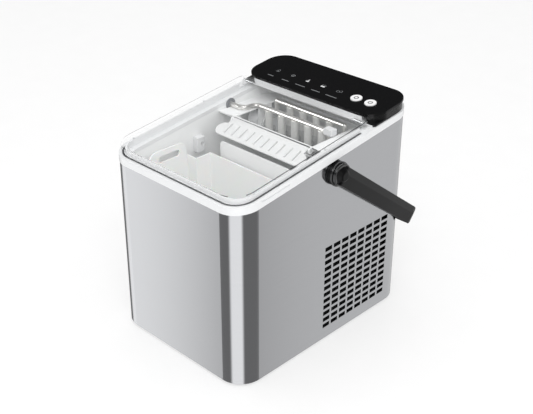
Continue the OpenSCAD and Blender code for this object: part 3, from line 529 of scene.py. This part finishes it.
# white band round the top, with the lip that the lid closes over
band = {"height": 9 * mm, "proud": 0.6 * mm, "cornerRadius": 30.5 * mm, "lipHeight": 5.4 * mm,
    "lipThick": 2.6 * mm,
    "lidInset": 4.5 * mm, "lidThick": 2.4 * mm, "lidCorner": 26 * mm, "edge": 1.1 * mm,
    "fit": 0.4 * mm, "openingFront": 10 * mm, "openingRear": 39 * mm, "openingCorner": 22 * mm}
hingeUp, hingeOff = alongSlope(joints["lid_hinge"]["pos_m"])
lidEnd = hingeUp + 5 * mm                         # rear edge of the lid, up the slope
lidRearY = frontY + lidEnd * math.cos(slope)
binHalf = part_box("unit_deck")[1].x
slopeNormal = Vector((0, -math.sin(slope), math.cos(slope)))


def levelPoint(height):
    return Vector((0, frontY, rimFront + height))


topFrame = slab("topFrame", (-halfWidth - band["proud"], frontY - band["proud"], rimFront - 5 * mm),
    (halfWidth + band["proud"], backY + band["proud"], steelHigh.z + 20 * mm),
    band["cornerRadius"] + band["proud"], band["cornerRadius"] + band["proud"], 18)
sliceOff(topFrame, levelPoint(0.0), -slopeNormal)
sliceOff(topFrame, levelPoint(band["height"]), slopeNormal)
lipOut = halfWidth - band["lidInset"] - band["lidThick"] - band["fit"]
lipCorner = band["lidCorner"] - band["lidThick"] - band["fit"]
lip = slab("lip", (-lipOut, frontY + halfWidth - lipOut, rimFront),
    (lipOut, lidRearY - 16 * mm, steelHigh.z + 20 * mm),
    lipCorner, 4 * mm, 14)
sliceOff(lip, levelPoint(band["height"] - 1 * mm), -slopeNormal)
sliceOff(lip, levelPoint(band["height"] + band["lipHeight"]), slopeNormal)
unite(topFrame, lip)
recess = slab("recess", (-lipOut + band["lipThick"], frontY + halfWidth - lipOut + band["lipThick"],
    rimFront - 10 * mm),
    (lipOut - band["lipThick"], lidRearY + 6 * mm, steelHigh.z + 30 * mm), lipCorner - band["lipThick"],
    4 * mm, 14)
sliceOff(recess, levelPoint(band["height"] * 0.6), -slopeNormal)
subtract(topFrame, recess)
opening = slab("opening", (-binHalf, frontY + band["openingFront"], rimFront - 20 * mm),
    (binHalf, backY - band["openingRear"], steelHigh.z + 30 * mm), band["openingCorner"],
    band["openingCorner"], 12)
subtract(topFrame, opening)
# finger notches: a slanted cut and a shallow groove in each side of the band
notch = {"slantFront": 30 * mm, "slantRear": 39 * mm, "grooveRear": 80 * mm, "topRise": 10.6 * mm,
    "lowRise": 6.4 * mm, "deep": 1.0 * mm}
for side in (-1, 1):
    x0, x1 = sorted((side * (halfWidth + band["proud"] - notch["deep"]), side * (halfWidth + 6 * mm)))
    groove = addBox("groove", (x0, notch["slantRear"], notch["lowRise"] - 0.4 * mm),
        (x1, notch["grooveRear"], notch["lowRise"] + 0.4 * mm))
    subtract(topFrame, toSlope(groove))
    slant = addBox("slant", (x0, -6 * mm, -0.9 * mm), (x1, 6 * mm, 0.9 * mm))
    rise = math.atan2(notch["topRise"] - notch["lowRise"], notch["slantRear"] - notch["slantFront"])
    slant.data.transform(Matrix.Translation((0, (notch["slantFront"] + notch["slantRear"]) / 2,
        (notch["topRise"] + notch["lowRise"]) / 2)) @ Matrix.Rotation(-rise, 4, "X"))
    subtract(topFrame, toSlope(slant))
soften(topFrame, band["edge"], 3)
smooth(topFrame)
finish(topFrame, "topFrame", "cabinet", whiteAbs, ("top_frame",))
print("top frame made")

# clear lid: a shallow tray with rounded edges, hinge lugs and ribs at its rear corners
lidSizes = {"height": 12.2 * mm, "thick": 2.4 * mm, "inset": 4.5 * mm, "corner": 26 * mm,
    "rearCorner": 12 * mm,
    "gap": 0.3 * mm, "edge": 2.2 * mm, "skirtCut": 17 * mm,
    "lugs": (20 * mm, 12 * mm), "lugWidth": 4 * mm, "lugRadius": 3.2 * mm}
lidLow = band["height"] + lidSizes["gap"]
lidHalf = halfWidth - lidSizes["inset"]
lid = slab("lid", (-lidHalf, lidSizes["inset"], lidLow), (lidHalf, lidEnd, lidLow + lidSizes["height"]),
    lidSizes["corner"], lidSizes["rearCorner"], 16)
chooseEdges(lid, lambda a, b: min(a.z, b.z) > lidLow + lidSizes["height"] - 1e-5)
bpy.ops.mesh.bevel(offset=lidSizes["edge"], segments=4, profile=0.5, affect="EDGES")
leaveEdit()
hollow = slab("hollow", (-lidHalf + lidSizes["thick"], lidSizes["inset"] + lidSizes["thick"],
    lidLow - 1 * mm),
    (lidHalf - lidSizes["thick"], lidEnd + 30 * mm, lidLow + lidSizes["height"] - lidSizes["thick"]),
    lidSizes["corner"] - lidSizes["thick"], 2 * mm, 14)
subtract(lid, hollow)
subtract(lid, addBox("skirtCut", (-halfWidth, lidEnd - lidSizes["skirtCut"], lidLow - 1 * mm),
    (halfWidth, lidEnd + 40 * mm, lidLow + lidSizes["height"] - lidSizes["thick"])))
soften(lid, 0.4 * mm, 2)
lugs = []
lugRadius = lidSizes["lugRadius"]
ribTop = lidLow + lidSizes["height"] - lidSizes["thick"] + 0.1 * mm
for inward in lidSizes["lugs"]:
    x = lidHalf - lidSizes["thick"] - inward
    lugEnd = x + lidSizes["lugWidth"]
    lug = addRod("lug", lugRadius, (x, hingeUp, hingeOff), (lugEnd, hingeUp, hingeOff), 32)
    unite(lug, addBox("rib", (x, hingeUp - lugRadius, hingeOff), (lugEnd, hingeUp + lugRadius, ribTop)))
    soften(lug, 0.3 * mm, 2)
    lugs += [lug, mirrored(lug)]
lid = joinPieces([lid] + lugs)
toSlope(lid)
smooth(lid)
finish(lid, "lid", "lid", lidClear, ("lid",))
lid.data.materials.append(lidSeamShade)
# painted shade: the seat faces and the outer shoulder faces take the dark strip
for face in lid.data.polygons:
    up, off = alongSlope(face.center)
    atSide = abs(face.center.x) > lidHalf - lidSizes["thick"] - 0.1 * mm
    outside = atSide or up < lidSizes["inset"] + lidSizes["thick"] + 0.1 * mm
    atSeat = off < lidLow + 0.25 * mm
    atShoulder = lidLow + lidSizes["height"] - 1.3 * mm < off < lidLow + lidSizes["height"] - 0.5 * mm
    if atSeat or (outside and atShoulder):
        face.material_index = 1
print("lid made")

# black housing behind the lid, its low square-cornered foot and the glossy cover on it
panel = {"inset": 1.2 * mm, "height": 9.7 * mm, "cover": 2.8 * mm, "corner": 26 * mm, "rearCorner": 29.3 * mm,
    "footHeight": 2.2 * mm, "footCorner": 5 * mm, "depth": 74.6 * mm, "overhang": 0.3 * mm,
    "buttonDiameter": 15 * mm, "edge": 0.7 * mm, "wall": 8 * mm}
panelStart = (backY - panel["depth"] - frontY) / math.cos(slope)
panelEnd = (backY - frontY) / math.cos(slope) - panel["inset"]
panelHalf = halfWidth - panel["inset"]
housing = slab("controlBase", (-panelHalf, panelStart, band["height"]),
    (panelHalf, panelEnd, band["height"] + panel["height"]), panel["corner"], panel["rearCorner"], 18)
foot = slab("housingFoot", (-panelHalf, panelStart, band["height"]),
    (panelHalf, panelEnd, band["height"] + panel["footHeight"]), panel["footCorner"], panel["rearCorner"], 18)
unite(housing, foot)
well = slab("well", (-panelHalf + panel["wall"], panelStart + panel["wall"], band["height"] + 2 * mm),
    (panelHalf - panel["wall"], panelEnd - panel["wall"], band["height"] + 30 * mm),
    panel["corner"] - panel["wall"], panel["corner"] - panel["wall"], 8)
subtract(housing, well)
toSlope(housing)
soften(housing, 0.5 * mm, 2)
smooth(housing)
finish(housing, "controlBase", "cabinet", housingAbs, ("control_base",))
housing.data.materials.append(whiteAbs)                # its front, behind the lid, is faced in white
for face in housing.data.polygons:
    if face.normal.y < -0.9 and alongSlope(face.center)[0] < panelStart + 1 * mm:
        face.material_index = 1

coverLow = band["height"] + panel["height"]
coverTop = coverLow + panel["cover"]
cover = slab("controlCover", (-panelHalf - panel["overhang"], panelStart - panel["overhang"], coverLow),
    (panelHalf + panel["overhang"], panelEnd + panel["overhang"], coverTop), panel["corner"],
    panel["corner"], 18)
buttons = {}
for node in ("button_mode", "button_power"):
    low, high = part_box(node)
    middle = (low + high) / 2
    buttons[node] = (middle.x, alongSlope(middle)[0])
    subtract(cover, addRod("buttonHole", panel["buttonDiameter"] / 2 + 0.3 * mm,
        (middle.x, buttons[node][1], coverLow - 5 * mm), (middle.x, buttons[node][1], coverTop + 5 * mm), 64))
toSlope(cover)
soften(cover, panel["edge"], 3)
smooth(cover)
finish(cover, "controlCover", "cabinet", panelAcrylic, ("control_cover",))

# push buttons: dished caps with a plain ring and bar glyph
buttonSizes = {"proud": 1.3 * mm, "dish": 0.35 * mm, "edge": 0.7 * mm, "ringOut": 3.2 * mm,
    "ringIn": 2.0 * mm,
    "rim": 1.6 * mm, "fall": 2.2 * mm}
for node, (x, up) in buttons.items():
    top = coverTop + buttonSizes["proud"]
    cap = addRod(node, panel["buttonDiameter"] / 2, (x, up, coverLow - 3 * mm), (x, up, top), 64)
    chooseFaces(cap, lambda centre, normal: normal.z > 0.9)
    bpy.ops.mesh.inset(thickness=buttonSizes["rim"])
    bpy.ops.mesh.inset(thickness=buttonSizes["fall"])
    bpy.ops.transform.translate(value=(0, 0, -buttonSizes["dish"]))
    leaveEdit()
    soften(cap, buttonSizes["edge"], 3, 60)
    toSlope(cap)
    smooth(cap)
    finish(cap, "cap_" + node, node, buttonAbs, (node,))
    ring = addRod("ring", buttonSizes["ringOut"], (x, up, top - buttonSizes["dish"] - 0.1 * mm),
        (x, up, top - buttonSizes["dish"] + 0.05 * mm), 40)
    subtract(ring, addRod("ringHole", buttonSizes["ringIn"], (x, up, top - 2 * mm), (x, up, top + 2 * mm),
        40))
    marks = [ring]
    if node == "button_power":
        subtract(ring, addBox("gap", (x - 0.8 * mm, up, top - 2 * mm),
            (x + 0.8 * mm, up + 4 * mm, top + 2 * mm)))
        marks.append(addBox("bar", (x - 0.3 * mm, up + 0.4 * mm, top - buttonSizes["dish"] - 0.1 * mm),
            (x + 0.3 * mm, up + 2.8 * mm, top - buttonSizes["dish"] + 0.05 * mm)))
    glyph = toSlope(joinPieces(marks))
    finish(glyph, "glyph_" + node, node, glyphPrint)

# indicator symbols and their caption bars, printed on the cover: plain signs with no lettering
icons = {"pitch": 26 * mm, "size": 3.1 * mm, "line": 0.55 * mm, "barHeight": 1.3 * mm, "barDown": 15.8 * mm,
    "barLengths": (10 * mm, 12 * mm, 16 * mm, 14 * mm, 18 * mm), "ink": 0.04 * mm}
lensLow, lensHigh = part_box("indicator_lenses")
firstIcon = lensLow.x + 6 * mm
iconUp = alongSlope((0, lensHigh.y, lensHigh.z))[0] - 4 * mm
inkLow, inkHigh = coverTop - 0.1 * mm, coverTop + icons["ink"]


def inkBox(x, up, width, height):
    return addBox("ink", (x - width / 2, up - height / 2, inkLow), (x + width / 2, up + height / 2, inkHigh))


def inkRing(x, up, radius, sides=36):
    ring = addRod("ink", radius, (x, up, inkLow), (x, up, inkHigh), sides)
    subtract(ring, addRod("inkHole", radius - icons["line"], (x, up, inkLow - 1 * mm),
        (x, up, inkHigh + 1 * mm), sides))
    return ring


size, line = icons["size"], icons["line"]
greyInk, brightInk = [], []
x = firstIcon                                     # a drop over a level line
greyInk += [inkRing(x, iconUp + 0.4 * size, 0.6 * size), inkBox(x, iconUp - 0.5 * size, 1.7 * size, line),
    inkBox(x, iconUp - 0.8 * size, 1.2 * size, line)]
x += icons["pitch"]                               # a round dial
greyInk += [inkRing(x, iconUp, 0.95 * size), inkRing(x, iconUp, 0.45 * size),
    inkBox(x, iconUp + 0.7 * size, line, 0.5 * size)]
x += icons["pitch"]                               # a cone
brightInk += [inkBox(x, iconUp + 0.45 * size, 0.4 * size, 1.3 * size),
    inkBox(x, iconUp - 0.1 * size, 0.8 * size, 0.5 * size),
    inkBox(x, iconUp - 0.6 * size, 1.5 * size, 0.7 * size)]
x += icons["pitch"]                               # a half-full tray
brightInk.append(inkBox(x, iconUp - 0.45 * size, 2 * size, 0.9 * size))
greyInk += [inkBox(x, iconUp + 0.75 * size, 1.8 * size, line),
    inkBox(x - 0.85 * size, iconUp + 0.35 * size, line, 0.8 * size),
    inkBox(x + 0.85 * size, iconUp + 0.35 * size, line, 0.8 * size)]
x += icons["pitch"]                               # two blocks
greyInk += [inkRing(x - 0.5 * size, iconUp - 0.2 * size, 0.8 * size, 6),
    inkRing(x + 0.65 * size, iconUp + 0.25 * size, 0.8 * size, 6)]
for index, length in enumerate(icons["barLengths"]):
    greyInk.append(inkBox(firstIcon + index * icons["pitch"], iconUp - icons["barDown"], length,
        icons["barHeight"]))
finish(toSlope(joinPieces(greyInk)), "indicatorMarks", "cabinet", symbolPrint,
    ("indicator_lenses",))
finish(toSlope(joinPieces(brightInk)), "indicatorBright", "cabinet", brightPrint)
print("panel and buttons made")

# carry handle: two tapered arms with a ridge along their outer face, and the grip behind
carry = {"drop": 37, "width": 24 * mm, "grip": 8 * mm, "ridge": 2.4 * mm, "upperFall": 3.4 * mm,
    "lowerFall": 2.0 * mm,
    "gap": 1.3 * mm, "endOut": 7 * mm, "tipOut": 3 * mm, "capRadius": 12 * mm, "capDepth": 6.2 * mm,
    "endRadius": 3.6 * mm, "edge": 1.5 * mm, "gripEdge": 3.6 * mm}
collar = {"radius": 15.5 * mm, "stepRadius": 14 * mm, "start": 3.3 * mm, "step": 3.15 * mm, "depth": 7 * mm,
    "bore": 7.3 * mm, "edge": 0.9 * mm, "recess": 0.3 * mm}
pivot = Vector(joints["handle_swing"]["pos_m"])
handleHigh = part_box("handle")[1]
dropAngle = math.radians(carry["drop"])
gripReach = handleHigh.y - pivot.y - carry["width"] / 2 * math.sin(dropAngle)
gripUp = gripReach / math.cos(dropAngle) - carry["grip"] / 2
armInner, armOuter = halfWidth + carry["gap"], handleHigh.x
gripNear, gripFar, halfBar = gripUp - carry["grip"] / 2, gripUp + carry["grip"] / 2, carry["width"] / 2


def toHandle(piece):
    # from drawing space (y down the arm, z across it) to its place on the pivot
    piece.data.transform(Matrix.Translation((0, pivot.y, pivot.z)) @ Matrix.Rotation(-dropAngle, 4, "X"))
    piece.data.update()
    return piece


arm = addBox("arm", (armInner, 0, -halfBar), (armOuter, gripFar, halfBar))
scoreAcross(arm, (0, gripNear, 0), (0, 1, 0))
scoreAcross(arm, (0, 0, carry["ridge"]), (0, 0, 1))
onOuter = armOuter - 0.01 * mm
choosePoints(arm, lambda co: co.x > onOuter and co.y < gripFar - 1 * mm and co.z > halfBar - 0.1 * mm)
bpy.ops.transform.translate(value=(-carry["upperFall"], 0, 0))
leaveEdit()
choosePoints(arm, lambda co: co.x > onOuter and co.y < gripFar - 1 * mm and co.z < 0.1 * mm - halfBar)
bpy.ops.transform.translate(value=(-carry["lowerFall"], 0, 0))
leaveEdit()
choosePoints(arm, lambda co: co.x > armInner + 1 * mm and abs(co.y - gripNear) < 0.1 * mm)
bpy.ops.transform.translate(value=(halfWidth + carry["endOut"] - armOuter, 0, 0))
leaveEdit()
choosePoints(arm, lambda co: co.x > armInner + 1 * mm and co.y > gripFar - 0.1 * mm)
bpy.ops.transform.translate(value=(halfWidth + carry["tipOut"] - armOuter, 0, 0))
leaveEdit()
chooseEdges(arm, lambda a, b: min(a.y, b.y) > gripFar - 0.1 * mm and abs(a.z - b.z) < 0.1 * mm
    and abs(a.z) > halfBar - 0.1 * mm)
bpy.ops.mesh.bevel(offset=carry["endRadius"], segments=5, profile=0.5, affect="EDGES")
leaveEdit()
soften(arm, carry["edge"], 3, 25)
cap = addRod("armCap", carry["capRadius"] - 0.1 * mm, (armOuter - carry["capDepth"], 0, 0),
    (armOuter - 0.3 * mm, 0, 0), 64, carry["capRadius"] - 6 * mm)
soften(cap, carry["edge"], 3, 25)
unite(arm, cap)
collarEnd = halfWidth + collar["start"] + collar["depth"]
subtract(arm, addRod("collarRoom", collar["radius"] + collar["recess"], (halfWidth - 5 * mm, 0, 0),
    (collarEnd, 0, 0), 64))
arms = [arm, mirrored(arm)]
grip = addBox("grip", (-armInner - 1 * mm, gripNear, -halfBar), (armInner + 1 * mm, gripFar, halfBar))
soften(grip, carry["gripEdge"], 6)
handle = joinPieces(arms + [grip])
toHandle(handle)
smooth(handle, 40)
finish(handle, "carryHandle", "handle", handleNylon, ("handle",))

collarStart = halfWidth + collar["start"]
ring = addRod("collar", collar["radius"], (collarStart, 0, 0), (collarStart + collar["step"], 0, 0), 96)
soften(ring, collar["edge"], 4)
step = addRod("collarStep", collar["stepRadius"], (collarStart + collar["step"] - 0.1 * mm, 0, 0),
    (collarEnd, 0, 0), 96)
soften(step, collar["edge"], 4)
unite(ring, step)
subtract(ring, addRod("collarBore", collar["bore"], (halfWidth, 0, 0), (collarEnd + 5 * mm, 0, 0), 48))
collars = joinPieces([ring, mirrored(ring)])
toHandle(collars)
smooth(collars)
finish(collars, "handleCollars", "handle", collarAbs, ("handle_collars",))
print("handle made")

# camera: from the front right, looking down a little
viewpoint = {"place": (0.7614, -0.78807, 0.7414), "azimuth": 44.18, "elevation": 28.61, "roll": 0.18,
    "lens": 66.12}
azimuth, elevation, roll = (math.radians(viewpoint[key]) for key in ("azimuth", "elevation", "roll"))
away = Vector((math.sin(azimuth) * math.cos(elevation), -math.cos(azimuth) * math.cos(elevation),
    math.sin(elevation)))
across = Vector((math.cos(azimuth), math.sin(azimuth), 0))
upward = away.cross(across)
turnedAcross = math.cos(roll) * across + math.sin(roll) * upward
turnedUp = math.cos(roll) * upward - math.sin(roll) * across
camera = bpy.data.objects.new("camera", bpy.data.cameras.new("camera"))
bpy.context.scene.collection.objects.link(camera)
camera.data.lens = viewpoint["lens"]
camera.data.sensor_width = 36
facing = Matrix((turnedAcross, turnedUp, away)).transposed().to_4x4()
camera.matrix_world = Matrix.Translation(viewpoint["place"]) @ facing
bpy.context.scene.camera = camera

# pale floor
clearSelection()
bpy.ops.mesh.primitive_plane_add(size=12)
floor = bpy.context.object
floor.name = "floor"
floorPaint = makeSurface("paleStudioFloor", "B4B4B4", "B0B0B0", (0.7, 0.8), (40, 40, 40), 0.0,
    **{"Emission Color": (1, 1, 1, 1), "Emission Strength": 0.55})
floor.data.materials.append(floorPaint)

# studio: even pale light, and three tall soft screens round the table that only shiny surfaces mirror.
# Each screen has the compass bearing of its middle in degrees, from +X towards +Y, its half width in
# degrees and its brightness.
studio = {"screens": ((-155, 10, 1.2), (-60, 20, 1.2), (75, 25, 0.7)), "softEdge": 15, "room": 0.2,
    "screenTop": 0.0, "topFade": 0.2, "fill": 0.86}
room = bpy.data.worlds.new("studio")
bpy.context.scene.world = room
room.use_nodes = True
roomTree = room.node_tree
roomTree.nodes.clear()
direction = addNode(roomTree, "ShaderNodeTexCoord")
parts = addNode(roomTree, "ShaderNodeSeparateXYZ", {}, {0: direction.outputs["Generated"]})
bearing = addNode(roomTree, "ShaderNodeMath", {"operation": "ARCTAN2"},
    {0: parts.outputs[1], 1: parts.outputs[0]})
share = addNode(roomTree, "ShaderNodeMapRange", {1: -math.pi, 2: math.pi, 3: 0.0, 4: 1.0},
    {0: bearing.outputs[0]})
ramp = addNode(roomTree, "ShaderNodeValToRGB", {}, {0: share.outputs[0]})
screenStops = [(-180, studio["room"])]
for centre, half, brightness in studio["screens"]:
    outer = half + studio["softEdge"]
    screenStops += [(centre - outer, studio["room"]), (centre - half, brightness),
        (centre + half, brightness), (centre + outer, studio["room"])]
ramp.color_ramp.interpolation = "EASE"
stops = ramp.color_ramp.elements
for index, (angle, brightness) in enumerate(screenStops):
    place = (angle + 180) / 360
    stop = stops[index] if index < 2 else stops.new(place)
    stop.position = place
    stop.color = (brightness, brightness, brightness, 1)
# the screens end a little above the table, and the room over them is dark
overScreens = addNode(roomTree, "ShaderNodeMapRange",
    {1: studio["screenTop"], 2: studio["screenTop"] + studio["topFade"],
    3: 1.0, 4: studio["room"]}, {0: parts.outputs[2]})
mirroredLight = addNode(roomTree, "ShaderNodeVectorMath", {"operation": "SCALE"},
    {0: ramp.outputs[0], "Scale": overScreens.outputs[0]})
rays = addNode(roomTree, "ShaderNodeLightPath")
fillColour = (studio["fill"], studio["fill"], studio["fill"], 1)
fill = addNode(roomTree, "ShaderNodeMix", {"data_type": "RGBA", 6: (1, 1, 1, 1), 7: fillColour},
    {0: rays.outputs["Is Diffuse Ray"]})
shown = addNode(roomTree, "ShaderNodeMix", {"data_type": "RGBA"},
    {0: rays.outputs["Is Glossy Ray"], 6: fill.outputs[2], 7: mirroredLight.outputs[0]})
glow = addNode(roomTree, "ShaderNodeBackground", {"Strength": 1.0}, {"Color": shown.outputs[2]})
addNode(roomTree, "ShaderNodeOutputWorld", {}, {"Surface": glow.outputs[0]})
floor.visible_glossy = False
bpy.context.scene.view_settings.view_transform = "Standard"


def addSoftBox(name, place, target, width, height, power):
    lamp = bpy.data.objects.new(name, bpy.data.lights.new(name, "AREA"))
    bpy.context.scene.collection.objects.link(lamp)
    lamp.data.shape = "RECTANGLE"
    lamp.data.size, lamp.data.size_y = width, height
    lamp.data.energy = power
    lamp.location = place
    lamp.rotation_euler = (Vector(place) - Vector(target)).to_track_quat("Z", "Y").to_euler()
    lamp.visible_camera = False
    return lamp


middle = (0, 0, 0.15)
addSoftBox("overhead", (-0.2, 0.1, 1.6), middle, 1.0, 1.0, 2)
addSoftBox("key", (0.9, -0.9, 1.3), middle, 0.8, 0.8, 9)
strip = addSoftBox("strip", (-0.9, -1.12, 0.5), (0.11, 0, 0.23), 0.35, 0.7, 10)
strip.visible_diffuse = False                     # seen only as a highlight on shiny pieces
print("studio made")
